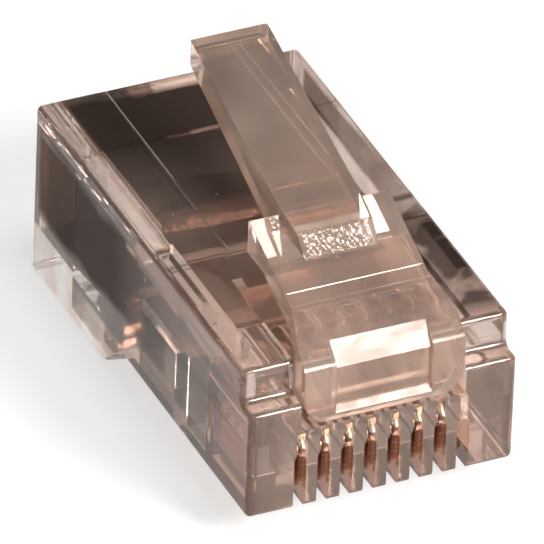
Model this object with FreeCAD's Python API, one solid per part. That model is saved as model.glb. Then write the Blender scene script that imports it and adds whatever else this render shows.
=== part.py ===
# Eight-position modular plug, uncrimped, with its sprung latch, both strain reliefs and eight contacts.
# Lengths are millimetres. Each outline is drawn in the plug's own measuring datum: X across the plug,
# Y back from the nose face and Z up from the underside of the nose. At the end every solid is moved so
# that the origin is at the middle of the bottom of the whole plug.
import FreeCAD
import Part
import math
import os

Vector = FreeCAD.Vector

# Outer body
BODY_WIDTH = 11.68
BODY_LENGTH = 21.46
BODY_HEIGHT = 6.55
NOSE_STEP_HEIGHT = 5.00
NOSE_STEP_DEPTH = 0.96
FOOT_DROP = 1.50
FOOT_START = 12.00
FOOT_RUN = 2.20
FOOT_CORNER_RADIUS = 1.10
OUTLINE_RADIUS = 0.28
SIDE_EDGE_RADIUS = 0.25

# Cavity for the cable jacket and chamber for the eight wires
SIDE_WALL = 1.50
JACKET_CEILING = 5.30
JACKET_CROWN = 0.65
JACKET_CROWN_FLAT = 0.10
JACKET_CORNER_RADIUS = 0.45
JACKET_FLOOR_REAR = 0.35
JACKET_FLOOR_FRONT = 0.90
JACKET_FRONT = 13.10
MOUTH_LENGTH = 3.40
MOUTH_FLARE = 0.25
CHAMBER_SIDE_ROOM = 0.17
CHAMBER_FLOOR = 3.35
CHAMBER_CEILING = 4.55
CHAMBER_FRONT = 4.90
LEAD_IN_RUN = 1.20
LEAD_IN_RADIUS = 0.60

# Wire channels and contact slots
CONTACT_COUNT = 8
CONTACT_PITCH = 1.02
CHANNEL_DIAMETER = 0.92
CHANNEL_HEIGHT = 3.95
CHANNEL_FRONT = 1.55
SLOT_WIDTH = 0.52
SLOT_TOP = 2.40
SLOT_REAR = 4.60
SLOT_SHOULDER = 0.12
GUIDE_CLEARANCE = 0.02
GUIDE_TOP = 3.60
GUIDE_REAR = 4.30

# Contacts, as they stand before crimping
CONTACT_THICKNESS = 0.30
CONTACT_FRONT = 0.95
CONTACT_REAR = 4.15
CONTACT_BOTTOM = 0.15
CONTACT_SHOULDER = 2.60
CONTACT_CORNER_RADIUS = 0.50
CONTACT_HEEL_RADIUS = 0.30
CONTACT_EDGE_RADIUS = 0.05
NOTCH_FOOT = 1.74
NOTCH_Y = 1.16
NOTCH_Z = 2.02
HORN_FRONT = 0.56
HORN_BOTTOM = 2.20
HORN_BREAK = 2.42
HORN_TIP_Y = 0.96
HORN_TIP_Z = 2.97
HORN_REAR = 1.15
SPIKE_COUNT = 3
SPIKE_FRONT = 1.75
SPIKE_TIP = 3.15
SPIKE_BASE = 0.60

# Windows in the underside and the two clamps that sit in them
CLAMP_CLEARANCE = 0.08
KNUCKLE_CLEARANCE = 0.03
REAR_WINDOW_FRONT = 8.05
REAR_WINDOW_ROOF = 2.75
JACKET_CLAMP_FRONT = 11.45
JACKET_CLAMP_TOP = 3.25
JACKET_CLAMP_CROWN = 0.80
JACKET_CLAMP_NOSE_RADIUS = 0.40
JACKET_CLAMP_BEND_RADIUS = 0.60
JACKET_CLAMP_SMALL_RADIUS = 0.15
JACKET_CLAMP_TOE = 0.50
JACKET_CLAMP_LIFT = 0.25
JACKET_CLAMP_SHELF = 1.50
JACKET_HINGE_Y = 15.35
JACKET_HINGE_Z = 0.50
JACKET_KNUCKLE_RADIUS = 0.35
WEB_GAP = 0.22
WEB_RECESS_REAR = 18.20
WEB_THICKNESS = 0.60
FRONT_WINDOW_FRONT = 5.00
FRONT_WINDOW_REAR = 6.80
CONDUCTOR_CLAMP_TOP = 3.27
CONDUCTOR_CLAMP_BOTTOM = 1.00
CONDUCTOR_CLAMP_LEAN = 0.45
CONDUCTOR_CLAMP_RADIUS = 0.20
CONDUCTOR_CLAMP_EDGE = 0.10
CONDUCTOR_HINGE_Y = 6.50
CONDUCTOR_KNUCKLE_RADIUS = 0.25

# Latch
ROOT_WIDTH = 7.00
ROOT_SIDE_CLEARANCE = 0.10
ROOT_CORNER_RADIUS = 1.40
ROLL_RADIUS = 0.60
ROLL_CLEARANCE = 0.03
ROLL_HEIGHT = 4.40
ROLL_FRONT_RADIUS = 0.30
BROW_FOOT = 6.45
BROW_FOOT_RADIUS = 0.60
BROW_TOP_Y = 1.30
BROW_TOP_Z = 7.54
BROW_TOP_RADIUS = 1.00
CREASE_Y = 2.50
CREASE_HEIGHT = 7.90
CREASE_RADIUS = 4.60
PLATE_WIDTH = 6.10
SHOULDER_Y = 6.78
SHOULDER_HEIGHT = 9.50
SHOULDER_SOLE = 1.55
PLATE_UNDERSIDE_FRONT = 6.35
PLATE_UNDERSIDE_REAR = 7.92
HAIRPIN_RADIUS = 0.60
HAIRPIN_POCKET_WIDTH = 4.20
HAIRPIN_POCKET_DEPTH = 0.40
HAIRPIN_POCKET_LIFT = 0.30
PANEL_WIDTH = 4.20
PANEL_WALL = 0.20
PANEL_WALL_BOTTOM = 4.50
PANEL_WALL_TOP = 6.30
PANEL_LEAN_DEG = 37.5
PLAN_START = 0.90
PLAN_RADIUS = 0.60
LEVER_STEP_WIDTH = 3.20
LEVER_ROOT_WIDTH = 3.50
LEVER_END_WIDTH = 3.40
LEVER_STEP_FOOT_Y = 4.42
LEVER_STEP_FOOT_RISE = 0.12
LEVER_STEP_TOP_Y = 5.25
LEVER_STEP_TOP_Z = 9.45
LEVER_MIDDLE_Y = 8.40
LEVER_MIDDLE_Z = 10.22
LEVER_BEND_RADIUS = 9.0
LEVER_END_Y = 16.00
LEVER_END_TOP_Z = 12.25
LEVER_END_BOTTOM_Z = 11.15
LEVER_CORNER_RADIUS = 0.40
LEVER_END_RADIUS = 0.30
LATCH_EDGE_RADIUS = 0.10
LATCH_TRAVEL_DEG = 12.0

# Room for the latch in the top of the body
SWING_MARGIN_DEG = 10.0
SCOOP_FLOOR = 6.05
SCOOP_FLAT_REAR = 4.60
SCOOP_REAR = 7.00
TRACK_DEPTH = 0.12

HALF_WIDTH = BODY_WIDTH / 2.0
CAVITY_WIDTH = BODY_WIDTH - 2.0 * SIDE_WALL
CHAMBER_WIDTH = CONTACT_COUNT * CONTACT_PITCH + 2.0 * CHAMBER_SIDE_ROOM
CONDUCTOR_HINGE_Z = CONDUCTOR_CLAMP_TOP - CONDUCTOR_KNUCKLE_RADIUS
SPARE = 2.0


def corner_arc(before, corner, after, radius):
    """The two tangent points and the middle point of an arc that rounds one corner."""
    back = (before - corner).normalize()
    ahead = (after - corner).normalize()
    half_angle = back.getAngle(ahead) / 2.0
    reach = radius / math.tan(half_angle)
    middle_line = (back + ahead).normalize()
    middle = corner + middle_line * (radius / math.sin(half_angle) - radius)
    return corner + back * reach, middle, corner + ahead * reach


def rounded_wire(corners):
    """A closed wire through corners, each given as a point and the radius that rounds it."""
    count = len(corners)
    stretches = []
    for index in range(count):
        point, radius = corners[index]
        before = corners[index - 1][0]
        after = corners[(index + 1) % count][0]
        if radius > 0.0:
            start, middle, end = corner_arc(before, point, after, radius)
            stretches.append((start, end, Part.Arc(start, middle, end).toShape()))
        else:
            stretches.append((point, point, None))
    edges = []
    for index in range(count):
        start, end, arc = stretches[index]
        if arc is not None:
            edges.append(arc)
        following = stretches[(index + 1) % count][0]
        if end.distanceToPoint(following) > 1e-6:
            edges.append(Part.LineSegment(end, following).toShape())
    return Part.Wire(edges)


def prism(corners, direction):
    return Part.Face(rounded_wire(corners)).extrude(direction)


def side_prism(outline, half_width):
    """A prism across the plug from an outline of (y, z, radius) corners."""
    corners = [(Vector(-half_width, y, z), radius) for y, z, radius in outline]
    return prism(corners, Vector(2.0 * half_width, 0, 0))


def front_prism(outline, y_from, y_to):
    """A prism along the plug from an outline of (x, z, radius) corners."""
    corners = [(Vector(x, y_from, z), radius) for x, z, radius in outline]
    return prism(corners, Vector(0, y_to - y_from, 0))


def plan_prism(outline, z_from, z_to):
    """An upright prism from an outline of (x, y, radius) corners."""
    corners = [(Vector(x, y, z_from), radius) for x, y, radius in outline]
    return prism(corners, Vector(0, 0, z_to - z_from))


def mirrored(half_outline):
    """A whole outline from its right half. A corner on the middle line is used once."""
    left = [(-x, other, radius) for x, other, radius in reversed(half_outline) if x > 0.0]
    return half_outline + left


def block(half_width, y_from, y_to, z_from, z_to):
    return Part.makeBox(2.0 * half_width, y_to - y_from, z_to - z_from, Vector(-half_width, y_from, z_from))


def cross_bar(radius, half_width, y, z):
    """A round bar across the plug."""
    return Part.makeCylinder(radius, 2.0 * half_width, Vector(-half_width, y, z), Vector(1, 0, 0))


def contact_places():
    first = -CONTACT_PITCH * (CONTACT_COUNT - 1) / 2.0
    return [first + CONTACT_PITCH * index for index in range(CONTACT_COUNT)]


def jacket_floor(y):
    """Height of the cavity floor, which climbs from the mouth to the clamp's hinge."""
    share = (BODY_LENGTH - y) / (BODY_LENGTH - JACKET_HINGE_Y)
    return JACKET_FLOOR_REAR + (JACKET_FLOOR_FRONT - JACKET_FLOOR_REAR) * share


def body_shell():
    outline = [
        (0.0, 0.0, OUTLINE_RADIUS),
        (0.0, NOSE_STEP_HEIGHT, OUTLINE_RADIUS),
        (NOSE_STEP_DEPTH, NOSE_STEP_HEIGHT, OUTLINE_RADIUS),
        (NOSE_STEP_DEPTH, BODY_HEIGHT, OUTLINE_RADIUS),
        (BODY_LENGTH, BODY_HEIGHT, OUTLINE_RADIUS),
        (BODY_LENGTH, -FOOT_DROP, OUTLINE_RADIUS),
        (FOOT_START + FOOT_RUN, -FOOT_DROP, FOOT_CORNER_RADIUS),
        (FOOT_START, 0.0, OUTLINE_RADIUS),
    ]
    shell = side_prism(outline, HALF_WIDTH)
    rim = [edge for edge in shell.Edges if edge.BoundBox.XLength < 1e-6]
    return shell.makeFillet(SIDE_EDGE_RADIUS, rim)


def crowned_section(half, bottom, ceiling):
    """A cavity section with upright walls and a gently crowned ceiling."""
    slope = math.atan2(JACKET_CROWN, half)
    corner_reach = JACKET_CORNER_RADIUS / math.tan((math.pi / 2.0 + slope) / 2.0)
    crown_reach = half / math.cos(slope) - corner_reach - JACKET_CROWN_FLAT
    crown_radius = crown_reach / math.tan(slope)
    apex = ceiling + crown_radius * (1.0 / math.cos(slope) - 1.0)
    return mirrored([
        (half, bottom, 0.0),
        (half, apex - JACKET_CROWN, JACKET_CORNER_RADIUS),
        (0.0, apex, crown_radius),
    ])


def jacket_cavity():
    """The hollow from the cable mouth to the wire chamber, with a sloping floor and lead-in."""
    section = crowned_section(CAVITY_WIDTH / 2.0, -FOOT_DROP, JACKET_CEILING)
    bore = front_prism(section, CHAMBER_FRONT, BODY_LENGTH + SPARE)
    mouth = BODY_LENGTH + SPARE
    chamber_rear = JACKET_FRONT - LEAD_IN_RUN
    outline = [
        (mouth, jacket_floor(mouth), 0.0),
        (mouth, JACKET_CEILING + SPARE, 0.0),
        (JACKET_FRONT + LEAD_IN_RUN, JACKET_CEILING + SPARE, 0.0),
        (JACKET_FRONT, JACKET_CEILING, 0.0),
        (chamber_rear, CHAMBER_CEILING, LEAD_IN_RADIUS),
        (chamber_rear - LEAD_IN_RADIUS, CHAMBER_CEILING, 0.0),
        (chamber_rear - LEAD_IN_RADIUS, CHAMBER_FLOOR, 0.0),
        (JACKET_CLAMP_FRONT, CHAMBER_FLOOR, 0.0),
        (JACKET_CLAMP_FRONT, jacket_floor(JACKET_HINGE_Y), 0.0),
        (JACKET_HINGE_Y, jacket_floor(JACKET_HINGE_Y), 0.0),
    ]
    return bore.common(side_prism(outline, HALF_WIDTH))


def cable_mouth():
    """The slightly wider first stretch of the cavity."""
    half = CAVITY_WIDTH / 2.0 + MOUTH_FLARE
    section = crowned_section(half, JACKET_FLOOR_REAR, JACKET_CEILING + MOUTH_FLARE)
    return front_prism(section, BODY_LENGTH - MOUTH_LENGTH, BODY_LENGTH + SPARE)


def wire_chamber():
    rear = JACKET_FRONT - LEAD_IN_RUN
    return block(CHAMBER_WIDTH / 2.0, CHAMBER_FRONT, rear, CHAMBER_FLOOR, CHAMBER_CEILING)


def contact_cell(x):
    """One contact's slot, the narrow guide above it and the wire channel that the guide opens into."""
    wide = SLOT_WIDTH / 2.0
    narrow = CONTACT_THICKNESS / 2.0 + GUIDE_CLEARANCE
    section = [
        (x + wide, -SPARE, 0.0),
        (x + wide, SLOT_TOP, 0.0),
        (x + narrow, SLOT_TOP + SLOT_SHOULDER, 0.0),
        (x - narrow, SLOT_TOP + SLOT_SHOULDER, 0.0),
        (x - wide, SLOT_TOP, 0.0),
        (x - wide, -SPARE, 0.0),
    ]
    slot = front_prism(section, -SPARE, SLOT_REAR)
    guide = Part.makeBox(2.0 * narrow, GUIDE_REAR + SPARE, GUIDE_TOP - SLOT_TOP,
                         Vector(x - narrow, -SPARE, SLOT_TOP))
    throat = Part.makeBox(2.0 * narrow, GUIDE_REAR - CHANNEL_FRONT, CHANNEL_HEIGHT - SLOT_TOP,
                          Vector(x - narrow, CHANNEL_FRONT, SLOT_TOP))
    channel = Part.makeCylinder(CHANNEL_DIAMETER / 2.0, CHAMBER_FRONT - CHANNEL_FRONT + CHANNEL_DIAMETER,
                                Vector(x, CHANNEL_FRONT, CHANNEL_HEIGHT), Vector(0, 1, 0))
    return slot.fuse([guide, throat, channel])


def rear_window():
    """The window before the jacket clamp, the clamp's bay and the recess that leaves its web thin."""
    half = CAVITY_WIDTH / 2.0
    deep = -FOOT_DROP - SPARE
    front_room = block(half, REAR_WINDOW_FRONT, JACKET_CLAMP_FRONT, deep, REAR_WINDOW_ROOF)
    bay = block(half, JACKET_CLAMP_FRONT - CLAMP_CLEARANCE, JACKET_HINGE_Y, deep, CHAMBER_FLOOR)
    seat = cross_bar(JACKET_KNUCKLE_RADIUS + KNUCKLE_CLEARANCE, half, JACKET_HINGE_Y, JACKET_HINGE_Z)
    web_underside = jacket_floor(WEB_RECESS_REAR) - WEB_THICKNESS
    recess = block(half, JACKET_HINGE_Y, WEB_RECESS_REAR, deep, web_underside)
    return front_room.fuse([bay, seat, recess])


def front_window():
    half = CHAMBER_WIDTH / 2.0
    room = block(half, FRONT_WINDOW_FRONT, FRONT_WINDOW_REAR, -SPARE, CHAMBER_FLOOR)
    seat_radius = CONDUCTOR_KNUCKLE_RADIUS + KNUCKLE_CLEARANCE
    seat = cross_bar(seat_radius, half, CONDUCTOR_HINGE_Y, CONDUCTOR_HINGE_Z)
    return room.fuse(seat)


def latch_room():
    """The ledge and seat of the latch's roll, the gap behind its root and the scoop under its plate."""
    half = ROOT_WIDTH / 2.0 + ROOT_SIDE_CLEARANCE
    seat_radius = ROLL_RADIUS + ROLL_CLEARANCE
    seat_rear = ROLL_RADIUS + seat_radius
    seat_bottom = ROLL_HEIGHT - seat_radius
    swing = math.tan(math.radians(LATCH_TRAVEL_DEG + SWING_MARGIN_DEG))
    outline = [
        (-SPARE, seat_bottom, 0.0),
        (seat_rear, seat_bottom, seat_radius),
        (seat_rear, ROLL_HEIGHT, 0.0),
        (seat_rear + (SCOOP_FLOOR - ROLL_HEIGHT) * swing, SCOOP_FLOOR, 0.0),
        (SCOOP_FLAT_REAR, SCOOP_FLOOR, 0.0),
        (SCOOP_REAR, BODY_HEIGHT, 0.0),
        (SCOOP_REAR, BODY_HEIGHT + SPARE, 0.0),
        (-SPARE, BODY_HEIGHT + SPARE, 0.0),
    ]
    track = block(PLATE_WIDTH / 2.0 + ROOT_SIDE_CLEARANCE, SCOOP_FLAT_REAR, BODY_LENGTH + SPARE,
                  BODY_HEIGHT - TRACK_DEPTH, BODY_HEIGHT + SPARE)
    return side_prism(outline, half).fuse(track)


def housing():
    voids = [jacket_cavity(), cable_mouth(), wire_chamber(), rear_window(), front_window(), latch_room()]
    voids += [contact_cell(x) for x in contact_places()]
    return body_shell().cut(voids)


def contact(x):
    """A flat blade with a round-cornered wiping edge, a notched front, a horn and piercing points."""
    pitch = (CONTACT_REAR - SPIKE_FRONT) / SPIKE_COUNT
    outline = [
        (HORN_REAR, CONTACT_SHOULDER, 0.0),
        (HORN_TIP_Y, HORN_TIP_Z, CONTACT_EDGE_RADIUS),
        (HORN_FRONT, HORN_BREAK, CONTACT_EDGE_RADIUS),
        (HORN_FRONT, HORN_BOTTOM, CONTACT_EDGE_RADIUS),
        (NOTCH_Y, NOTCH_Z, CONTACT_EDGE_RADIUS),
        (CONTACT_FRONT, NOTCH_FOOT, CONTACT_EDGE_RADIUS),
        (CONTACT_FRONT, CONTACT_BOTTOM, CONTACT_CORNER_RADIUS),
        (CONTACT_REAR, CONTACT_BOTTOM, CONTACT_HEEL_RADIUS),
        (CONTACT_REAR, CONTACT_SHOULDER, 0.0),
    ]
    for index in range(SPIKE_COUNT):
        middle = CONTACT_REAR - pitch * (index + 0.5)
        outline += [
            (middle + SPIKE_BASE / 2.0, CONTACT_SHOULDER, 0.0),
            (middle, SPIKE_TIP, 0.0),
            (middle - SPIKE_BASE / 2.0, CONTACT_SHOULDER, 0.0),
        ]
    blade = side_prism(outline, CONTACT_THICKNESS / 2.0)
    blade.translate(Vector(x, 0, 0))
    return blade


def jacket_clamp():
    """The primary strain relief: a wedge that ends in a round knuckle at the cavity floor."""
    radius = JACKET_KNUCKLE_RADIUS
    rear = JACKET_HINGE_Y - WEB_GAP
    crown_end = JACKET_CLAMP_FRONT + JACKET_CLAMP_CROWN
    shelf = JACKET_HINGE_Y - JACKET_CLAMP_SHELF
    sole = JACKET_CLAMP_LIFT - FOOT_DROP
    outline = [
        (JACKET_CLAMP_FRONT, JACKET_CLAMP_TOE, JACKET_CLAMP_SMALL_RADIUS),
        (JACKET_CLAMP_FRONT, JACKET_CLAMP_TOP, JACKET_CLAMP_NOSE_RADIUS),
        (crown_end, JACKET_CLAMP_TOP, JACKET_CLAMP_NOSE_RADIUS),
        (shelf, JACKET_HINGE_Z + radius, JACKET_CLAMP_BEND_RADIUS),
        (JACKET_HINGE_Y + radius, JACKET_HINGE_Z + radius, radius),
        (JACKET_HINGE_Y + radius, JACKET_HINGE_Z - radius, radius),
        (rear, JACKET_HINGE_Z - radius, 0.0),
        (rear, sole, JACKET_CLAMP_SMALL_RADIUS),
        (FOOT_START + FOOT_RUN, sole, JACKET_CLAMP_BEND_RADIUS),
        (FOOT_START + JACKET_CLAMP_LIFT, JACKET_CLAMP_TOE, JACKET_CLAMP_SMALL_RADIUS),
    ]
    return side_prism(outline, CAVITY_WIDTH / 2.0 - CLAMP_CLEARANCE)


def conductor_clamp():
    """The secondary strain relief: a narrow bar that ends in a round knuckle behind it."""
    radius = CONDUCTOR_KNUCKLE_RADIUS
    front = FRONT_WINDOW_FRONT + CLAMP_CLEARANCE
    small = CONDUCTOR_CLAMP_RADIUS
    outline = [
        (front, CONDUCTOR_CLAMP_TOP, CONDUCTOR_CLAMP_EDGE),
        (front, CONDUCTOR_HINGE_Z, small),
        (front + CONDUCTOR_CLAMP_LEAN, CONDUCTOR_CLAMP_BOTTOM, small),
        (CONDUCTOR_HINGE_Y - radius, CONDUCTOR_CLAMP_BOTTOM, small),
        (CONDUCTOR_HINGE_Y, CONDUCTOR_HINGE_Z - radius, 0.0),
        (CONDUCTOR_HINGE_Y + radius, CONDUCTOR_HINGE_Z - radius, radius),
        (CONDUCTOR_HINGE_Y + radius, CONDUCTOR_CLAMP_TOP, radius),
    ]
    return side_prism(outline, CHAMBER_WIDTH / 2.0 - CLAMP_CLEARANCE)


def root_panel():
    """The shallow moulded recess in the front of the root, with leaning faces above and below its wall."""
    lean = math.tan(math.radians(PANEL_LEAN_DEG))
    reach = PANEL_WALL + CREASE_HEIGHT
    outline = [
        (PANEL_WALL - reach * lean, PANEL_WALL_BOTTOM - reach, 0.0),
        (PANEL_WALL, PANEL_WALL_BOTTOM, 0.0),
        (PANEL_WALL, PANEL_WALL_TOP, 0.0),
        (PANEL_WALL + reach * lean, PANEL_WALL_TOP + reach, 0.0),
        (-reach * lean, PANEL_WALL_TOP + reach, 0.0),
        (-reach * lean, PANEL_WALL_BOTTOM - reach, 0.0),
    ]
    return side_prism(outline, PANEL_WIDTH / 2.0)


def latch_plate():
    """The rolled root, the brow and the plate with its two locking shoulders."""
    back = 2.0 * ROLL_RADIUS
    roll_bottom = ROLL_HEIGHT - ROLL_RADIUS
    outline = [
        (0.0, roll_bottom, ROLL_FRONT_RADIUS),
        (0.0, BROW_FOOT, BROW_FOOT_RADIUS),
        (BROW_TOP_Y, BROW_TOP_Z, BROW_TOP_RADIUS),
        (CREASE_Y, CREASE_HEIGHT, CREASE_RADIUS),
        (SHOULDER_Y, SHOULDER_HEIGHT, LATCH_EDGE_RADIUS),
        (SHOULDER_Y, PLATE_UNDERSIDE_REAR, 0.0),
        (SHOULDER_Y - SHOULDER_SOLE, PLATE_UNDERSIDE_REAR, LATCH_EDGE_RADIUS),
        (back, PLATE_UNDERSIDE_FRONT, HAIRPIN_RADIUS),
        (back, roll_bottom, ROLL_RADIUS),
    ]
    half_root = ROOT_WIDTH / 2.0
    half_plate = PLATE_WIDTH / 2.0
    top = SHOULDER_HEIGHT + SPARE
    plan = mirrored([
        (half_root, -SPARE, 0.0),
        (half_root, PLAN_START, PLAN_RADIUS),
        (half_plate, CREASE_Y, PLAN_RADIUS),
        (half_plate, SHOULDER_Y + SPARE, 0.0),
    ])
    front_view = mirrored([
        (half_root, roll_bottom, ROOT_CORNER_RADIUS),
        (half_root, top, 0.0),
    ])
    plate = side_prism(outline, half_root).common(plan_prism(plan, 0.0, top))
    plate = plate.common(front_prism(front_view, -SPARE, SHOULDER_Y + SPARE))
    pocket = block(HAIRPIN_POCKET_WIDTH / 2.0, back - HAIRPIN_POCKET_DEPTH, back + HAIRPIN_RADIUS,
                   ROLL_HEIGHT + HAIRPIN_POCKET_LIFT, PLATE_UNDERSIDE_FRONT)
    return plate.cut([pocket, root_panel()])


def latch_finger():
    """The finger lever, a strip that bends up to its free end from a slanted step on the plate."""
    plate_slope = (SHOULDER_HEIGHT - CREASE_HEIGHT) / (SHOULDER_Y - CREASE_Y)
    foot_z = CREASE_HEIGHT + plate_slope * (LEVER_STEP_FOOT_Y - CREASE_Y)
    outline = [
        (LEVER_STEP_FOOT_Y, foot_z - HAIRPIN_RADIUS, 0.0),
        (LEVER_STEP_FOOT_Y, foot_z + LEVER_STEP_FOOT_RISE, 0.0),
        (LEVER_STEP_TOP_Y, LEVER_STEP_TOP_Z, LATCH_EDGE_RADIUS),
        (LEVER_MIDDLE_Y, LEVER_MIDDLE_Z, LEVER_BEND_RADIUS),
        (LEVER_END_Y, LEVER_END_TOP_Z, LEVER_END_RADIUS),
        (LEVER_END_Y, LEVER_END_BOTTOM_Z, LEVER_END_RADIUS),
        (SHOULDER_Y, PLATE_UNDERSIDE_REAR, 0.0),
    ]
    plan = mirrored([
        (LEVER_STEP_WIDTH / 2.0, LEVER_STEP_FOOT_Y - SPARE, 0.0),
        (LEVER_STEP_WIDTH / 2.0, LEVER_STEP_FOOT_Y, 0.0),
        (LEVER_ROOT_WIDTH / 2.0, SHOULDER_Y, 0.0),
        (LEVER_END_WIDTH / 2.0, LEVER_END_Y, LEVER_CORNER_RADIUS),
    ])
    strip = side_prism(outline, LEVER_ROOT_WIDTH)
    return strip.common(plan_prism(plan, 0.0, LEVER_END_TOP_Z + SPARE))


def latch_lever():
    return latch_plate().fuse(latch_finger()).removeSplitter()


def main():
    os.makedirs("parts", exist_ok=True)
    nodes = {
        "housing": housing(),
        "latch_lever": latch_lever(),
        "jacket_clamp": jacket_clamp(),
        "conductor_clamp": conductor_clamp(),
    }
    for number, x in enumerate(contact_places(), start=1):
        nodes["contact_%d" % number] = contact(x)
    to_origin = Vector(0, -BODY_LENGTH / 2.0, FOOT_DROP)
    for name, shape in nodes.items():
        shape.translate(to_origin)
        shape.exportStep("parts/%s.step" % name)
        print(name, "solids", len(shape.Solids), "valid", shape.isValid(), "volume", round(shape.Volume, 3))


main()
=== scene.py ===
import math
import bpy
from mathutils import Matrix, Vector

MM = 0.001

# Where the plug's own measuring datum lies in the frame: the nose face and the underside of the nose
NOSE_FACE_Y = -10.73 * MM
NOSE_UNDERSIDE_Z = 1.50 * MM

# Camera
CAMERA_TARGET = Vector((0.0, -0.73, 4.70)) * MM
CAMERA_AZIMUTH = math.radians(-25.539)
CAMERA_ELEVATION = math.radians(34.427)
CAMERA_ROLL = math.radians(2.334)
CAMERA_DISTANCE = 604.248 * MM
CAMERA_SIDE_STEP = -0.316 * MM
CAMERA_RISE = 0.761 * MM
CAMERA_LENS = 992.65
SENSOR_WIDTH = 36.0
NEAREST_SEEN = 0.01
FARTHEST_SEEN = 10.0

# Studio: a pale floor, pale walls low around it and a dim ceiling
FLOOR_HALF_SIZE = 0.8
FLOOR_COLOUR = (0.50, 0.50, 0.50, 1.0)
FLOOR_ROUGHNESS = 0.7
FLOOR_GLOSS = 0.2
# Painted shade: the floor's added brightness is lower near the plug than far off, a darker pool around it.
NEAR_FLOOR_LIFT = 0.62
FAR_FLOOR_LIFT = 0.92
SHADE_POOL_RADIUS = 0.08
SHADE_POOL_EDGE = 0.45
WHITE = (1.0, 1.0, 1.0, 1.0)
SKY_COLOUR = (1.0, 0.985, 0.97, 1.0)
WALL_LEVEL = 1.0
CEILING_LEVEL = 0.10
WALL_TOP = math.sin(math.radians(9.0))
CEILING_START = math.sin(math.radians(22.0))

# Clear plastic: how it bends and passes light
PLASTIC_IOR = 1.585
PLASTIC_BOUNCES = 24
GLOSS_TINT = (1.0, 0.85, 0.76, 1.0)
# Painted shade: reflections dimmed on the outer side walls and on the walls of the cable's hollow.
DIMMED_REFLECTION_TINT = (0.14, 0.11, 0.10, 1.0)
# Painted shade: gloss dimmed in patches on the latch panel, softening its glint.
PANEL_DIMMED_GLOSS_TINT = (0.34, 0.29, 0.26, 1.0)
# Painted shade: a dark film over the side walls where the hollow shows through.
SIDE_SHADE_FILM_TINT = (0.70, 0.66, 0.64, 1.0)
FILM_IOR = 1.0
BODY_CLARITY = 0.86
CLAMP_CLARITY = 0.88
LATCH_CLARITY = 0.85

# Clear plastic: its colours
BODY_TINT = (0.94, 0.67, 0.55, 1.0)
# Painted light: the latch's tint is paler than the body's, a lit copy of the same plastic.
LATCH_PAINTED_LIGHT_TINT = (1.0, 0.79, 0.67, 1.0)
# Painted light: the clamps' tint is paler than the body's, so that their glints come out cream.
CLAMP_PAINTED_LIGHT_TINT = (1.0, 0.93, 0.86, 1.0)
BODY_CLOUDINESS = 0.70
LATCH_CLOUDINESS = 0.68
# Painted shade: the shaded tint darkens the plastic over and beside the cable's hollow, and the hollow tint
# darkens its walls to near black.
SHADED_TINT = (0.19, 0.12, 0.09, 1.0)
HOLLOW_SHADE_TINT = (0.0016, 0.0010, 0.0008, 1.0)
# Painted shade: mottled darkening on the right flank of the top.
FLANK_SHADE_TINT = (0.06, 0.038, 0.030, 1.0)
# Painted shade: dark streaks along the side walls.
SHADE_STREAK_TINT = (0.36, 0.235, 0.18, 1.0)
# Painted shade: darkens the walls of the clamps' windows.
POCKET_SHADE_TINT = (0.05, 0.032, 0.025, 1.0)
# Painted light: pale mottling on the outside of the rear foot.
FOOT_GLOW_TINT = (1.0, 0.92, 0.84, 1.0)
# Painted shade with a painted copper reflection: on the side walls of the slots.
SLOT_SHADE_TINT = (0.46, 0.22, 0.14, 1.0)
# Dust specks are painted pale, and so is the witness line on the body, as a painted highlight.
DUST_AND_GLINT_TINT = (0.95, 0.90, 0.86, 1.0)

# Clear plastic: its surface
POLISHED = 0.02
CLOUD_ROUGHNESS = 0.03
SPECK_ROUGHNESS = 0.4
ETCHED_ROUGHNESS = 0.12
PANEL_ROUGHNESS = 0.14
BUMP_STEP = 0.01 * MM
BODY_FLOW_DEPTH = 0.20
LATCH_FLOW_DEPTH = 0.15
PEEL_DEPTH = 0.01
BODY_ETCH_DEPTH = 2.5
LATCH_ETCH_DEPTH = 5.5
CREASE_HEIGHT = 2.4
WITNESS_HEIGHT = 7.0

# Textures: how many features there are to the metre, and the texture's values where a mask starts and ends
WAVES = 600.0
WAVE_VALUES = (0.3, 0.7)
STREAKS = 1700.0
STREAK_VALUES = (0.40, 0.58)
FAINTEST_STREAK = 0.35
FOOT_MOTTLE = 650.0
FOOT_MOTTLE_VALUES = (0.44, 0.56)
FLANK_SHADE_MOTTLE = 420.0
FLANK_SHADE_MOTTLE_VALUES = (0.36, 0.52)
FAINTEST_FLANK_SHADE = 0.25
FLOW = 700.0
PEEL = 5200.0
ETCHING = 4500.0
CLOUDS = 330.0
CLOUD_VALUES = (0.35, 0.68)
DUST = 1300.0
DOT_EDGE = (0.05, 0.09)
CHOSEN_DOTS = (0.93, 0.94)
PANEL_DIMMING = 620.0
PANEL_DIMMING_VALUES = (0.38, 0.62)
PLATING = 1500.0
PLATING_VALUES = (0.45, 0.62)
BRUSHING = 16000.0
BRUSHING_VALUES = (0.3, 0.7)

# Gold plated blades
BRIGHT_GOLD = (0.93, 0.80, 0.64, 1.0)
DULL_GOLD = (0.86, 0.66, 0.54, 1.0)
GOOD_PLATING = 0.45
SMOOTH_BLADE = 0.14
ROUGH_BLADE = 0.30
BLADE_BUMP_STEP = 0.004 * MM

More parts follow.
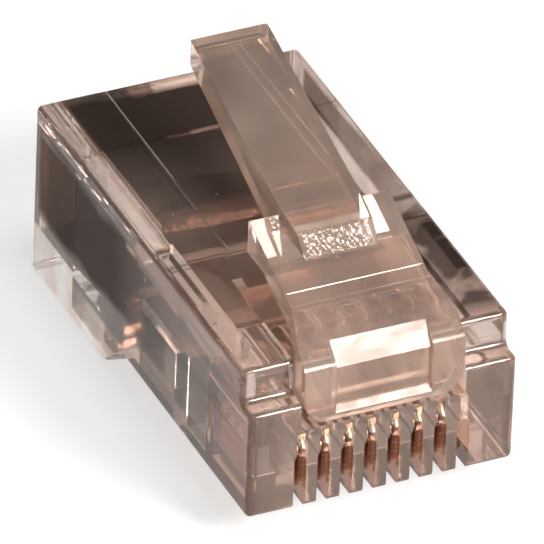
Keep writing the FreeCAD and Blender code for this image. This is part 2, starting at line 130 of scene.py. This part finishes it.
# Places on the plug, in millimetres: Y behind the nose face, Z above the underside of the nose.
# A span is where a mask starts and ends, and a ramp is how far it takes to come up.
SIDE_WALL_X = (5.2, 5.6)
HOLLOW_WALL_HALF_WIDTH = 4.70
HOLLOW_WALL_Y = (13.0, 23.0)
HOLLOW_WALL_Z = (-0.4, 6.0)
HOLLOW_WALL_RAMP = 0.25
OVER_HOLLOW_HALF_WIDTH = 4.80
OVER_HOLLOW_RAMP = 0.12
OVER_HOLLOW_Y = (13.2, 17.5)
BESIDE_HOLLOW_Z = (1.35, 5.7)
BESIDE_HOLLOW_RAMP = 0.60
SIDE_SHADE_Y = (7.5, 13.5)
SIDE_SHADE = 0.9
CLEAR_REAR_EDGE_Y = (20.65, 20.95)
WAVE_HEIGHT = 0.45
STREAK_WALL_X = (5.3, 5.6)
STREAK_Z = (2.2, 7.0)
STREAK_Z_RAMP = 1.2
STREAK_Y = (1.0, 22.0)
STREAK_Y_RAMP = 1.5
FOOT_Y = (13.5, 15.0)
FOOT_Z = (0.8, 1.5)
FOOT_FLOOR_Z = (-1.4, -1.3)
FOOT_END_Y = (21.3, 21.35)
FLANK_X = (3.3, 6.3)
FLANK_X_RAMP = 0.6
FLANK_Y = (0.9, 9.6)
FLANK_Y_RAMP = 1.2
FLANK_Z = (5.9, 6.3)
WINDOW_HALF_WIDTH = 4.80
WINDOW_X_RAMP = 0.05
WINDOW_RAMP = 0.02
REAR_WINDOW_Y = (8.0, 11.5)
REAR_WINDOW_Z = (-1.6, 2.8)
FRONT_WINDOW_Y = (4.95, 6.85)
FRONT_WINDOW_Z = (0.05, 3.3)
SHOWING_WINDOW_Y = (8.1, 10.3)
SHOWING_WINDOW_Y_RAMP = 0.3
SHOWING_WINDOW_Z = (1.5, 4.0)
SHOWING_WINDOW_Z_RAMP = 0.4
SHOWING_WINDOW_SHADE = 0.75
CONTACT_PITCH = 1.02
SLOT_HALF_WIDTH = 0.26
SLOT_EDGE = (0.005, 0.02)
SLOT_ROW_HALF_WIDTH = 4.08
SLOT_ROW_RAMP = 0.1
SLOT_Z = (2.15, 2.45)
SLOT_Y = (4.6, 4.9)
ETCHED_HALF_WIDTH = 1.50
ETCHED_Y = (4.30, 5.35)
ETCHED_Z = (8.70, 9.42)
ETCHED_RAMP = 0.06
WITNESS_X = (2.72, 2.84)
WITNESS_X_RAMP = 0.05
WITNESS_Y = (9.0, 21.4)
WITNESS_Y_RAMP = 0.1
WITNESS_Z = (6.3, 6.5)
CREASES = ((3.20, 2.95), (2.17, 2.05))
CREASE_HALF_WIDTH = 0.04
CREASE_END_RAMP = 0.1
CREASE_Z = (6.8, 7.0)
PANEL_Y = (1.5, 2.0)
PANEL_Z = (7.2, 7.6)
WIPED_Z = (0.25, 0.7)
HORN_GLINT_Z = (2.25, 2.40)


def at(x, y, z):
    """A point of the frame from millimetres in the plug's measuring datum."""
    return Vector((x * MM, y * MM + NOSE_FACE_Y, z * MM + NOSE_UNDERSIDE_Z))


def feed(tree, value, socket):
    """Joins another node's output to a socket, or sets the socket's own value."""
    if isinstance(value, bpy.types.NodeSocket):
        tree.links.new(value, socket)
    else:
        socket.default_value = value


def add_node(tree, kind, inputs=None, **settings):
    node = tree.nodes.new(kind)
    for name, value in settings.items():
        setattr(node, name, value)
    for name, value in (inputs or {}).items():
        feed(tree, value, node.inputs[name])
    return node


def reckon(tree, operation, *values):
    node = add_node(tree, "ShaderNodeMath", operation=operation)
    for socket, value in zip(node.inputs, values):
        feed(tree, value, socket)
    return node.outputs[0]


def all_of(tree, mask, *others):
    """The product of masks: 1 only where each of them is 1."""
    for other in others:
        mask = reckon(tree, "MULTIPLY", mask, other)
    return mask


def stretch(tree, place, x, y, z):
    """Draws a texture out along an axis whose factor is below 1."""
    node = add_node(tree, "ShaderNodeVectorMath", operation="MULTIPLY")
    feed(tree, place, node.inputs[0])
    feed(tree, Vector((x, y, z)), node.inputs[1])
    return node.outputs[0]


def noise(tree, place, scale, detail, distortion=0.0):
    inputs = {"Vector": place, "Scale": scale, "Detail": detail, "Distortion": distortion}
    return add_node(tree, "ShaderNodeTexNoise", inputs).outputs["Fac"]


def cells(tree, place, scale):
    return add_node(tree, "ShaderNodeTexVoronoi", {"Vector": place, "Scale": scale}).outputs


def remap(tree, value, low, high, to_low=0.0, to_high=1.0):
    inputs = {"Value": value, "From Min": low, "From Max": high, "To Min": to_low, "To Max": to_high}
    return add_node(tree, "ShaderNodeMapRange", inputs).outputs["Result"]


def blend_colours(tree, factor, first, second):
    inputs = {"Factor": factor, "A": first, "B": second}
    return add_node(tree, "ShaderNodeMix", inputs, data_type="RGBA").outputs["Result"]


def plug_place(tree):
    """The shaded point in its piece's own frame."""
    return add_node(tree, "ShaderNodeTexCoord").outputs["Object"]


def split(tree, place):
    return add_node(tree, "ShaderNodeSeparateXYZ", {"Vector": place}).outputs


def from_middle_plane(tree, parts):
    return reckon(tree, "ABSOLUTE", parts["X"])


def inside_span(tree, value, low, high, ramp):
    """1 where a value lies between two limits, falling to 0 over a ramp inside them."""
    above = remap(tree, value, low, low + ramp)
    below = remap(tree, value, high - ramp, high, 1.0, 0.0)
    return reckon(tree, "MULTIPLY", above, below)


def x_span(tree, value, span, ramp):
    low, high = span
    return inside_span(tree, value, low * MM, high * MM, ramp * MM)


def y_span(tree, parts, span, ramp):
    low, high = (at(0.0, y, 0.0).y for y in span)
    return inside_span(tree, parts["Y"], low, high, ramp * MM)


def z_span(tree, value, span, ramp):
    low, high = (at(0.0, 0.0, z).z for z in span)
    return inside_span(tree, value, low, high, ramp * MM)


def within_width(tree, aside, half_width, ramp):
    """1 near the middle plane, falling to 0 over a ramp inside the half width."""
    return remap(tree, aside, half_width * MM - ramp * MM, half_width * MM, 1.0, 0.0)


def x_ramp(tree, value, span, to_low=0.0, to_high=1.0):
    low, high = span
    return remap(tree, value, low * MM, high * MM, to_low, to_high)


def y_ramp(tree, parts, span, to_low=0.0, to_high=1.0):
    low, high = (at(0.0, y, 0.0).y for y in span)
    return remap(tree, parts["Y"], low, high, to_low, to_high)


def z_ramp(tree, parts, span, to_low=0.0, to_high=1.0):
    low, high = (at(0.0, 0.0, z).z for z in span)
    return remap(tree, parts["Z"], low, high, to_low, to_high)


def new_group(name, inputs, outputs):
    group = bpy.data.node_groups.new(name, "ShaderNodeTree")
    for socket_name, kind in inputs:
        group.interface.new_socket(socket_name, in_out="INPUT", socket_type="NodeSocket" + kind)
    for socket_name, kind in outputs:
        group.interface.new_socket(socket_name, in_out="OUTPUT", socket_type="NodeSocket" + kind)
    given = group.nodes.new("NodeGroupInput")
    result = group.nodes.new("NodeGroupOutput")
    return group, given.outputs, result.inputs


def new_material(name):
    material = bpy.data.materials.new(name)
    material.use_nodes = True
    tree = material.node_tree
    return material, tree, tree.nodes["Principled BSDF"].inputs


def aim_camera():
    data = bpy.data.cameras.new("camera")
    data.lens = CAMERA_LENS
    data.sensor_width = SENSOR_WIDTH
    data.clip_start = NEAREST_SEEN
    data.clip_end = FARTHEST_SEEN
    camera = bpy.data.objects.new("camera", data)
    bpy.context.scene.collection.objects.link(camera)
    level = math.cos(CAMERA_ELEVATION)
    back = Vector((math.sin(CAMERA_AZIMUTH) * level, -math.cos(CAMERA_AZIMUTH) * level,
                   math.sin(CAMERA_ELEVATION)))
    right = Vector((math.cos(CAMERA_AZIMUTH), math.sin(CAMERA_AZIMUTH), 0.0))
    up = back.cross(right)
    rolled_right = right * math.cos(CAMERA_ROLL) + up * math.sin(CAMERA_ROLL)
    rolled_up = up * math.cos(CAMERA_ROLL) - right * math.sin(CAMERA_ROLL)
    place = (CAMERA_TARGET + back * CAMERA_DISTANCE + rolled_right * CAMERA_SIDE_STEP
             + rolled_up * CAMERA_RISE)
    turn = Matrix((rolled_right, rolled_up, back)).transposed().to_4x4()
    camera.matrix_world = Matrix.Translation(place) @ turn
    bpy.context.scene.camera = camera


def floor_material():
    """A pale floor that the camera, gloss and the clear plastic all see as white, with soft shadows and with
    painted shade: less added brightness near the plug.
    """
    material, tree, shader = new_material("pale_floor")
    shader["Base Color"].default_value = FLOOR_COLOUR
    shader["Roughness"].default_value = FLOOR_ROUGHNESS
    shader["Specular IOR Level"].default_value = FLOOR_GLOSS
    shader["Emission Color"].default_value = WHITE
    path = add_node(tree, "ShaderNodeLightPath").outputs
    seen = reckon(tree, "MAXIMUM", path["Is Camera Ray"], path["Is Transmission Ray"])
    seen = reckon(tree, "MAXIMUM", seen, path["Is Glossy Ray"])
    place = add_node(tree, "ShaderNodeTexCoord").outputs["Object"]
    from_middle = add_node(tree, "ShaderNodeVectorMath", operation="LENGTH")
    feed(tree, place, from_middle.inputs[0])
    # Painted shade: less added brightness near the plug, more far off.
    lift_with_painted_shade = remap(tree, from_middle.outputs["Value"], SHADE_POOL_RADIUS, SHADE_POOL_EDGE, NEAR_FLOOR_LIFT, FAR_FLOOR_LIFT)
    feed(tree, reckon(tree, "MULTIPLY", seen, lift_with_painted_shade), shader["Emission Strength"])
    return material


def lay_floor():
    mesh = bpy.data.meshes.new("floor")
    half = FLOOR_HALF_SIZE
    corners = [(-half, -half, 0.0), (half, -half, 0.0), (half, half, 0.0), (-half, half, 0.0)]
    mesh.from_pydata(corners, [], [(0, 1, 2, 3)])
    mesh.materials.append(floor_material())
    floor = bpy.data.objects.new("floor", mesh)
    bpy.context.scene.collection.objects.link(floor)


def light_surroundings():
    """White walls low around the floor that darken towards the ceiling."""
    world = bpy.data.worlds.new("studio")
    world.use_nodes = True
    tree = world.node_tree
    direction = add_node(tree, "ShaderNodeTexCoord").outputs["Generated"]
    height = split(tree, direction)["Z"]
    background = tree.nodes["Background"].inputs
    background["Color"].default_value = SKY_COLOUR
    level = remap(tree, height, WALL_TOP, CEILING_START, WALL_LEVEL, CEILING_LEVEL)
    feed(tree, level, background["Strength"])
    bpy.context.scene.world = world


def softbox(name, azimuth, elevation, distance, width, height, power):
    """A rectangular lamp that looks at the plug. Azimuth 0 is in front of the nose."""
    data = bpy.data.lights.new(name, "AREA")
    data.shape = "RECTANGLE"
    data.size = width
    data.size_y = height
    data.energy = power
    lamp = bpy.data.objects.new(name, data)
    bpy.context.scene.collection.objects.link(lamp)
    turn = math.radians(azimuth)
    rise = math.radians(elevation)
    away = Vector((math.sin(turn) * math.cos(rise), -math.cos(turn) * math.cos(rise), math.sin(rise)))
    lamp.location = CAMERA_TARGET + away * distance
    lamp.rotation_euler = away.to_track_quat("Z", "Y").to_euler()


def set_lights():
    softbox("key_softbox", azimuth=25.5, elevation=34.5, distance=0.45,
            width=0.15, height=0.13, power=2.3)
    softbox("top_softbox", azimuth=10.0, elevation=75.0, distance=0.40,
            width=0.12, height=0.12, power=0.50)


def side_wall_mask(tree, aside):
    """1 on the outer side walls."""
    return x_ramp(tree, aside, SIDE_WALL_X)


def hollow_wall_mask(tree, aside, parts):
    """1 on the walls of the cable's hollow."""
    return all_of(tree, within_width(tree, aside, HOLLOW_WALL_HALF_WIDTH, HOLLOW_WALL_RAMP),
                  y_span(tree, parts, HOLLOW_WALL_Y, HOLLOW_WALL_RAMP),
                  z_span(tree, parts["Z"], HOLLOW_WALL_Z, HOLLOW_WALL_RAMP))


def hollow_shade_group():
    """Paints shade: deepens a tint on the walls of the cable's hollow, and outside where the hollow shows
    through, with a dark film over the side walls there.
    """
    group, given, result = new_group(
        "cable_hollow_painted_shade",
        [("Tint", "Color"), ("Shaded Tint", "Color"), ("Hollow Shade Tint", "Color")],
        [("Tint", "Color"), ("Side Shade Film", "Float")])
    place = plug_place(group)
    parts = split(group, place)
    aside = from_middle_plane(group, parts)
    waves = noise(group, stretch(group, place, 1.0, 0.3, 1.0), WAVES, 3.0)
    waves = remap(group, waves, *WAVE_VALUES, -WAVE_HEIGHT * MM, WAVE_HEIGHT * MM)
    beside = z_span(group, reckon(group, "ADD", parts["Z"], waves), BESIDE_HOLLOW_Z, BESIDE_HOLLOW_RAMP)
    over = within_width(group, aside, OVER_HOLLOW_HALF_WIDTH, OVER_HOLLOW_RAMP)
    behind = all_of(group, reckon(group, "MAXIMUM", over, beside), y_ramp(group, parts, OVER_HOLLOW_Y))
    side = side_wall_mask(group, aside)
    on_side = all_of(group, beside, side, y_ramp(group, parts, SIDE_SHADE_Y, 0.0, SIDE_SHADE))
    shaded = reckon(group, "MAXIMUM", behind, on_side)
    shaded = all_of(group, shaded, y_ramp(group, parts, CLEAR_REAR_EDGE_Y, 1.0, 0.0))
    feed(group, all_of(group, side, shaded), result["Side Shade Film"])
    tint = blend_colours(group, shaded, given["Tint"], given["Shaded Tint"])
    hollow = hollow_wall_mask(group, aside, parts)
    feed(group, blend_colours(group, hollow, tint, given["Hollow Shade Tint"]), result["Tint"])
    return group


def shade_streak_mask(tree, place, parts, aside):
    """Painted shade in streaks that run along the side walls."""
    streaks = noise(tree, stretch(tree, place, 1.0, 0.10, 1.0), STREAKS, 4.0, 0.3)
    streaks = remap(tree, streaks, *STREAK_VALUES, FAINTEST_STREAK, 1.0)
    wall = all_of(tree, x_ramp(tree, aside, STREAK_WALL_X),
                  z_span(tree, parts["Z"], STREAK_Z, STREAK_Z_RAMP),
                  y_span(tree, parts, STREAK_Y, STREAK_Y_RAMP))
    return all_of(tree, wall, streaks)


def foot_glow_mask(tree, place, parts, aside):
    """Painted light: upright pale mottling on the outside of the rear foot."""
    mottle = noise(tree, stretch(tree, place, 1.0, 1.0, 0.25), FOOT_MOTTLE, 3.0)
    mottle = remap(tree, mottle, *FOOT_MOTTLE_VALUES)
    foot = all_of(tree, mottle, y_ramp(tree, parts, FOOT_Y), z_ramp(tree, parts, FOOT_Z, 1.0, 0.0))
    inside = all_of(tree, within_width(tree, aside, WINDOW_HALF_WIDTH, WINDOW_X_RAMP),
                    z_ramp(tree, parts, FOOT_FLOOR_Z), y_ramp(tree, parts, FOOT_END_Y, 1.0, 0.0))
    return all_of(tree, foot, reckon(tree, "SUBTRACT", 1.0, inside))


def flank_shade_mask(tree, place, parts):
    """Painted shade, mottled, on the right flank of the top."""
    mottle = remap(tree, noise(tree, place, FLANK_SHADE_MOTTLE, 5.0, 0.5), *FLANK_SHADE_MOTTLE_VALUES, FAINTEST_FLANK_SHADE, 1.0)
    flank = all_of(tree, x_span(tree, parts["X"], FLANK_X, FLANK_X_RAMP),
                   y_span(tree, parts, FLANK_Y, FLANK_Y_RAMP), z_ramp(tree, parts, FLANK_Z))
    return all_of(tree, flank, mottle)


def window_shade_mask(tree, parts, aside):
    """Painted shade on the walls of the clamps' two windows, and on the rear one where it shows on the side
    walls.
    """
    rear = all_of(tree, y_span(tree, parts, REAR_WINDOW_Y, WINDOW_RAMP),
                  z_span(tree, parts["Z"], REAR_WINDOW_Z, WINDOW_RAMP))
    front = all_of(tree, y_span(tree, parts, FRONT_WINDOW_Y, WINDOW_RAMP),
                   z_span(tree, parts["Z"], FRONT_WINDOW_Z, WINDOW_RAMP))
    walls = all_of(tree, within_width(tree, aside, WINDOW_HALF_WIDTH, WINDOW_X_RAMP),
                   reckon(tree, "MAXIMUM", rear, front))
    showing = all_of(tree, x_ramp(tree, aside, STREAK_WALL_X, 0.0, SHOWING_WINDOW_SHADE),
                     y_span(tree, parts, SHOWING_WINDOW_Y, SHOWING_WINDOW_Y_RAMP),
                     z_span(tree, parts["Z"], SHOWING_WINDOW_Z, SHOWING_WINDOW_Z_RAMP))
    return reckon(tree, "MAXIMUM", walls, showing)


def shade_and_glow_group():
    """Painted shade in streaks on the side walls, on the right flank and in the windows, and painted light
    in pale mottling on the foot.
    """
    group, given, result = new_group(
        "painted_shade_and_glow",
        [("Tint", "Color"), ("Flank Shade Tint", "Color"), ("Shade Streak Tint", "Color"), ("Pocket Shade Tint", "Color"),
         ("Foot Glow Tint", "Color")],
        [("Tint", "Color")])
    place = plug_place(group)
    parts = split(group, place)
    aside = from_middle_plane(group, parts)
    tint = blend_colours(group, shade_streak_mask(group, place, parts, aside), given["Tint"], given["Shade Streak Tint"])
    tint = blend_colours(group, foot_glow_mask(group, place, parts, aside), tint, given["Foot Glow Tint"])
    tint = blend_colours(group, flank_shade_mask(group, place, parts), tint, given["Flank Shade Tint"])
    tint = blend_colours(group, window_shade_mask(group, parts, aside), tint, given["Pocket Shade Tint"])
    feed(group, tint, result["Tint"])
    return group


def slot_shade_group():
    """Painted shade with a painted copper reflection of the blades, on the side walls of the eight slots."""
    group, given, result = new_group(
        "contact_slot_painted_shade", [("Tint", "Color"), ("Slot Shade Tint", "Color")], [("Tint", "Color")])
    parts = split(group, plug_place(group))
    aside = from_middle_plane(group, parts)
    pitches = reckon(group, "DIVIDE", parts["X"], CONTACT_PITCH * MM)
    from_middle = reckon(group, "SUBTRACT", reckon(group, "FRACT", pitches), 0.5)
    from_middle = reckon(group, "ABSOLUTE", from_middle)
    edge = SLOT_HALF_WIDTH / CONTACT_PITCH
    slot = remap(group, from_middle, edge + SLOT_EDGE[0], edge + SLOT_EDGE[1], 1.0, 0.0)
    row_edge = (SLOT_ROW_HALF_WIDTH, SLOT_ROW_HALF_WIDTH + SLOT_ROW_RAMP)
    row = all_of(group, slot, x_ramp(group, aside, row_edge, 1.0, 0.0))
    below = z_ramp(group, parts, SLOT_Z, 1.0, 0.0)
    mask = all_of(group, row, all_of(group, below, y_ramp(group, parts, SLOT_Y, 1.0, 0.0)))
    feed(group, blend_colours(group, mask, given["Tint"], given["Slot Shade Tint"]), result["Tint"])
    return group


def etched_mask(tree, parts, aside):
    """The etched face of the step at the root of the finger lever."""
    return all_of(tree, within_width(tree, aside, ETCHED_HALF_WIDTH, ETCHED_RAMP),
                  y_span(tree, parts, ETCHED_Y, ETCHED_RAMP),
                  z_span(tree, parts["Z"], ETCHED_Z, ETCHED_RAMP))


def speck_mask(tree, place):
    """A few small dots of dust."""
    dots = cells(tree, place, DUST)
    small = remap(tree, dots["Distance"], *DOT_EDGE, 1.0, 0.0)
    chosen = remap(tree, split(tree, dots["Color"])["X"], *CHOSEN_DOTS)
    return all_of(tree, small, chosen)


def witness_mask(tree, parts, aside):
    """The fine line that the mould's slide leaves along the top, on each side of the latch."""
    return all_of(tree, x_span(tree, aside, WITNESS_X, WITNESS_X_RAMP), z_ramp(tree, parts, WITNESS_Z),
                  y_span(tree, parts, WITNESS_Y, WITNESS_Y_RAMP))


def moulding_group():
    """Marks of moulding: melt flow, fine peel, cloudy patches, dust, etching and a witness line."""
    group, given, result = new_group(
        "moulding_marks",
        [("Flow Depth", "Float"), ("Peel Depth", "Float"), ("Etch Depth", "Float"),
         ("Base Roughness", "Float")],
        [("Height", "Float"), ("Roughness", "Float"), ("Cloud", "Float"), ("Specks", "Float"),
         ("Witness Line", "Float")])
    place = plug_place(group)
    parts = split(group, place)
    aside = from_middle_plane(group, parts)
    flow = noise(group, stretch(group, place, 1.0, 0.45, 1.0), FLOW, 2.0, 0.4)
    peel = noise(group, place, PEEL, 3.0)
    grain = cells(group, place, ETCHING)["Distance"]
    cloud = remap(group, noise(group, place, CLOUDS, 3.0), *CLOUD_VALUES)
    etched = etched_mask(group, parts, aside)
    specks = speck_mask(group, place)
    line = witness_mask(group, parts, aside)
    height = reckon(group, "MULTIPLY", flow, given["Flow Depth"])
    height = reckon(group, "ADD", height, reckon(group, "MULTIPLY", peel, given["Peel Depth"]))
    height = reckon(group, "ADD", height, all_of(group, grain, etched, given["Etch Depth"]))
    height = reckon(group, "MULTIPLY_ADD", line, WITNESS_HEIGHT, height)
    rough = reckon(group, "MULTIPLY_ADD", cloud, CLOUD_ROUGHNESS, given["Base Roughness"])
    rough = reckon(group, "MULTIPLY_ADD", specks, SPECK_ROUGHNESS, rough)
    rough = reckon(group, "MULTIPLY_ADD", etched, ETCHED_ROUGHNESS, rough)
    feed(group, height, result["Height"])
    feed(group, rough, result["Roughness"])
    feed(group, cloud, result["Cloud"])
    feed(group, specks, result["Specks"])
    feed(group, line, result["Witness Line"])
    return group


def cloudy_tint(tree, tint, cloudiness, cloud):
    """A tint that darkens where the plastic is cloudy."""
    darker = tuple(part * cloudiness for part in tint[:3]) + (1.0,)
    return blend_colours(tree, cloud, tint, darker)


def clear_plastic(name, tint, clarity, groups):
    """Transparent polycarbonate with a warm smoky tint, for the body and the clamps."""
    material, tree, shader = new_material(name)
    depths = {"Flow Depth": BODY_FLOW_DEPTH, "Peel Depth": PEEL_DEPTH, "Etch Depth": BODY_ETCH_DEPTH,
              "Base Roughness": POLISHED}
    marks = add_node(tree, "ShaderNodeGroup", depths, node_tree=groups["marks"]).outputs
    plain = cloudy_tint(tree, tint, BODY_CLOUDINESS, marks["Cloud"])
    tints = {"Tint": plain, "Shaded Tint": SHADED_TINT, "Hollow Shade Tint": HOLLOW_SHADE_TINT}
    hollow = add_node(tree, "ShaderNodeGroup", tints, node_tree=groups["hollow"]).outputs
    tints = {"Tint": hollow["Tint"], "Flank Shade Tint": FLANK_SHADE_TINT, "Shade Streak Tint": SHADE_STREAK_TINT,
             "Pocket Shade Tint": POCKET_SHADE_TINT, "Foot Glow Tint": FOOT_GLOW_TINT}
    shade_and_glow = add_node(tree, "ShaderNodeGroup", tints, node_tree=groups["shade_and_glow"]).outputs
    tints = {"Tint": shade_and_glow["Tint"], "Slot Shade Tint": SLOT_SHADE_TINT}
    slots = add_node(tree, "ShaderNodeGroup", tints, node_tree=groups["slots"]).outputs
    # Dust specks, and a painted highlight along the witness line, are painted pale.
    pale = reckon(tree, "MAXIMUM", marks["Specks"], marks["Witness Line"])
    feed(tree, blend_colours(tree, pale, slots["Tint"], DUST_AND_GLINT_TINT), shader["Base Color"])
    # Painted shade: a dark coat film on the side walls where the hollow shows through.
    feed(tree, hollow["Side Shade Film"], shader["Coat Weight"])
    shader["Coat Tint"].default_value = SIDE_SHADE_FILM_TINT
    shader["Coat IOR"].default_value = FILM_IOR
    feed(tree, marks["Roughness"], shader["Roughness"])
    bump = add_node(tree, "ShaderNodeBump", {"Height": marks["Height"], "Distance": BUMP_STEP})
    feed(tree, bump.outputs["Normal"], shader["Normal"])
    shader["Transmission Weight"].default_value = clarity
    shader["IOR"].default_value = PLASTIC_IOR
    # Painted shade: reflections are dimmed on the outer side walls and on the hollow's walls.
    parts = split(tree, plug_place(tree))
    aside = from_middle_plane(tree, parts)
    outside = reckon(tree, "SUBTRACT", 1.0, add_node(tree, "ShaderNodeNewGeometry").outputs["Backfacing"])
    dimmed_reflection = all_of(tree, side_wall_mask(tree, aside), outside)
    dimmed_reflection = reckon(tree, "MAXIMUM", dimmed_reflection, hollow_wall_mask(tree, aside, parts))
    feed(tree, blend_colours(tree, dimmed_reflection, GLOSS_TINT, DIMMED_REFLECTION_TINT), shader["Specular Tint"])
    return material


def add_creases(tree, parts, aside, height):
    """Raises the two faint creases that cross the latch plate behind its roll."""
    for crease_y, half_length in CREASES:
        across = (crease_y - CREASE_HALF_WIDTH, crease_y + CREASE_HALF_WIDTH)
        end = (half_length, half_length + CREASE_END_RAMP)
        crease = all_of(tree, y_span(tree, parts, across, CREASE_HALF_WIDTH),
                        x_ramp(tree, aside, end, 1.0, 0.0), z_ramp(tree, parts, CREASE_Z))
        height = reckon(tree, "MULTIPLY_ADD", crease, CREASE_HEIGHT, height)
    return height


def latch_plastic(groups):
    """The same polycarbonate with a paler tint, painted light where it is solid with no hollow behind it."""
    material, tree, shader = new_material("clear_latch_plastic")
    depths = {"Flow Depth": LATCH_FLOW_DEPTH, "Peel Depth": PEEL_DEPTH, "Etch Depth": LATCH_ETCH_DEPTH,
              "Base Roughness": POLISHED}
    marks = add_node(tree, "ShaderNodeGroup", depths, node_tree=groups["marks"]).outputs
    plain = cloudy_tint(tree, LATCH_PAINTED_LIGHT_TINT, LATCH_CLOUDINESS, marks["Cloud"])
    feed(tree, blend_colours(tree, marks["Specks"], plain, DUST_AND_GLINT_TINT), shader["Base Color"])
    place = plug_place(tree)
    parts = split(tree, place)
    aside = from_middle_plane(tree, parts)
    height = add_creases(tree, parts, aside, marks["Height"])
    panel = all_of(tree, y_ramp(tree, parts, PANEL_Y, 1.0, 0.0), z_ramp(tree, parts, PANEL_Z, 1.0, 0.0))
    rough = reckon(tree, "MULTIPLY_ADD", panel, PANEL_ROUGHNESS, marks["Roughness"])
    feed(tree, rough, shader["Roughness"])
    # Painted shade: the panel's gloss is dimmed in patches, softening its glint.
    glow_dimming = remap(tree, noise(tree, place, PANEL_DIMMING, 4.0), *PANEL_DIMMING_VALUES)
    dimmed_glow = all_of(tree, panel, glow_dimming)
    feed(tree, blend_colours(tree, dimmed_glow, GLOSS_TINT, PANEL_DIMMED_GLOSS_TINT), shader["Specular Tint"])
    bump = add_node(tree, "ShaderNodeBump", {"Height": height, "Distance": BUMP_STEP})
    feed(tree, bump.outputs["Normal"], shader["Normal"])
    shader["Transmission Weight"].default_value = LATCH_CLARITY
    shader["IOR"].default_value = PLASTIC_IOR
    return material


def gold_plate():
    """Blades of dull copper pink, with brighter gold on the edge and patches of good plating, and paler gold
    painted on the horn tops as a highlight.
    """
    material, tree, shader = new_material("gold_plate")
    place = plug_place(tree)
    parts = split(tree, place)
    patches = remap(tree, noise(tree, place, PLATING, 4.0), *PLATING_VALUES)
    edge = z_ramp(tree, parts, WIPED_Z, 1.0, 0.0)
    bright = reckon(tree, "MAXIMUM", reckon(tree, "MULTIPLY", patches, GOOD_PLATING), edge)
    # Painted highlight: the horn tops take the paler gold where they glint.
    bright = reckon(tree, "MAXIMUM", bright, z_ramp(tree, parts, HORN_GLINT_Z))
    feed(tree, blend_colours(tree, bright, DULL_GOLD, BRIGHT_GOLD), shader["Base Color"])
    brushing = noise(tree, stretch(tree, place, 0.15, 1.0, 1.0), BRUSHING, 2.0)
    rough = remap(tree, brushing, *BRUSHING_VALUES, SMOOTH_BLADE, ROUGH_BLADE)
    feed(tree, rough, shader["Roughness"])
    bump = add_node(tree, "ShaderNodeBump", {"Height": brushing, "Distance": BLADE_BUMP_STEP})
    feed(tree, bump.outputs["Normal"], shader["Normal"])
    shader["Metallic"].default_value = 1.0
    return material


def dress(node, material):
    node.data.materials.clear()
    node.data.materials.append(material)


def dress_plug(nodes):
    groups = {"hollow": hollow_shade_group(), "shade_and_glow": shade_and_glow_group(), "slots": slot_shade_group(),
              "marks": moulding_group()}
    dress(nodes["housing"], clear_plastic("clear_body_plastic", BODY_TINT, BODY_CLARITY, groups))
    dress(nodes["latch_lever"], latch_plastic(groups))
    # The clamps take a paler copy of the body plastic, painted light.
    clamps = clear_plastic("clear_clamp_plastic", CLAMP_PAINTED_LIGHT_TINT, CLAMP_CLARITY, groups)
    dress(nodes["jacket_clamp"], clamps)
    dress(nodes["conductor_clamp"], clamps)
    gold = gold_plate()
    for name, node in nodes.items():
        if name.startswith("contact_"):
            dress(node, gold)


def set_render_values():
    scene = bpy.context.scene
    scene.view_settings.view_transform = "Standard"
    scene.cycles.max_bounces = PLASTIC_BOUNCES
    scene.cycles.transmission_bounces = PLASTIC_BOUNCES
    scene.cycles.glossy_bounces = PLASTIC_BOUNCES


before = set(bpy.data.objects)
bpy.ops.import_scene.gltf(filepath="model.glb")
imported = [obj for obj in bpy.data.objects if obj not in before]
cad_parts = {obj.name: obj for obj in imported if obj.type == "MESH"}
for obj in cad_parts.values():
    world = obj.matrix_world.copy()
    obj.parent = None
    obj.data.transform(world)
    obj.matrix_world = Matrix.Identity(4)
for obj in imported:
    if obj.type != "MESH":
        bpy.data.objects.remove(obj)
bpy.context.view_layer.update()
aim_camera()
lay_floor()
light_surroundings()
set_lights()
dress_plug(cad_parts)
set_render_values()
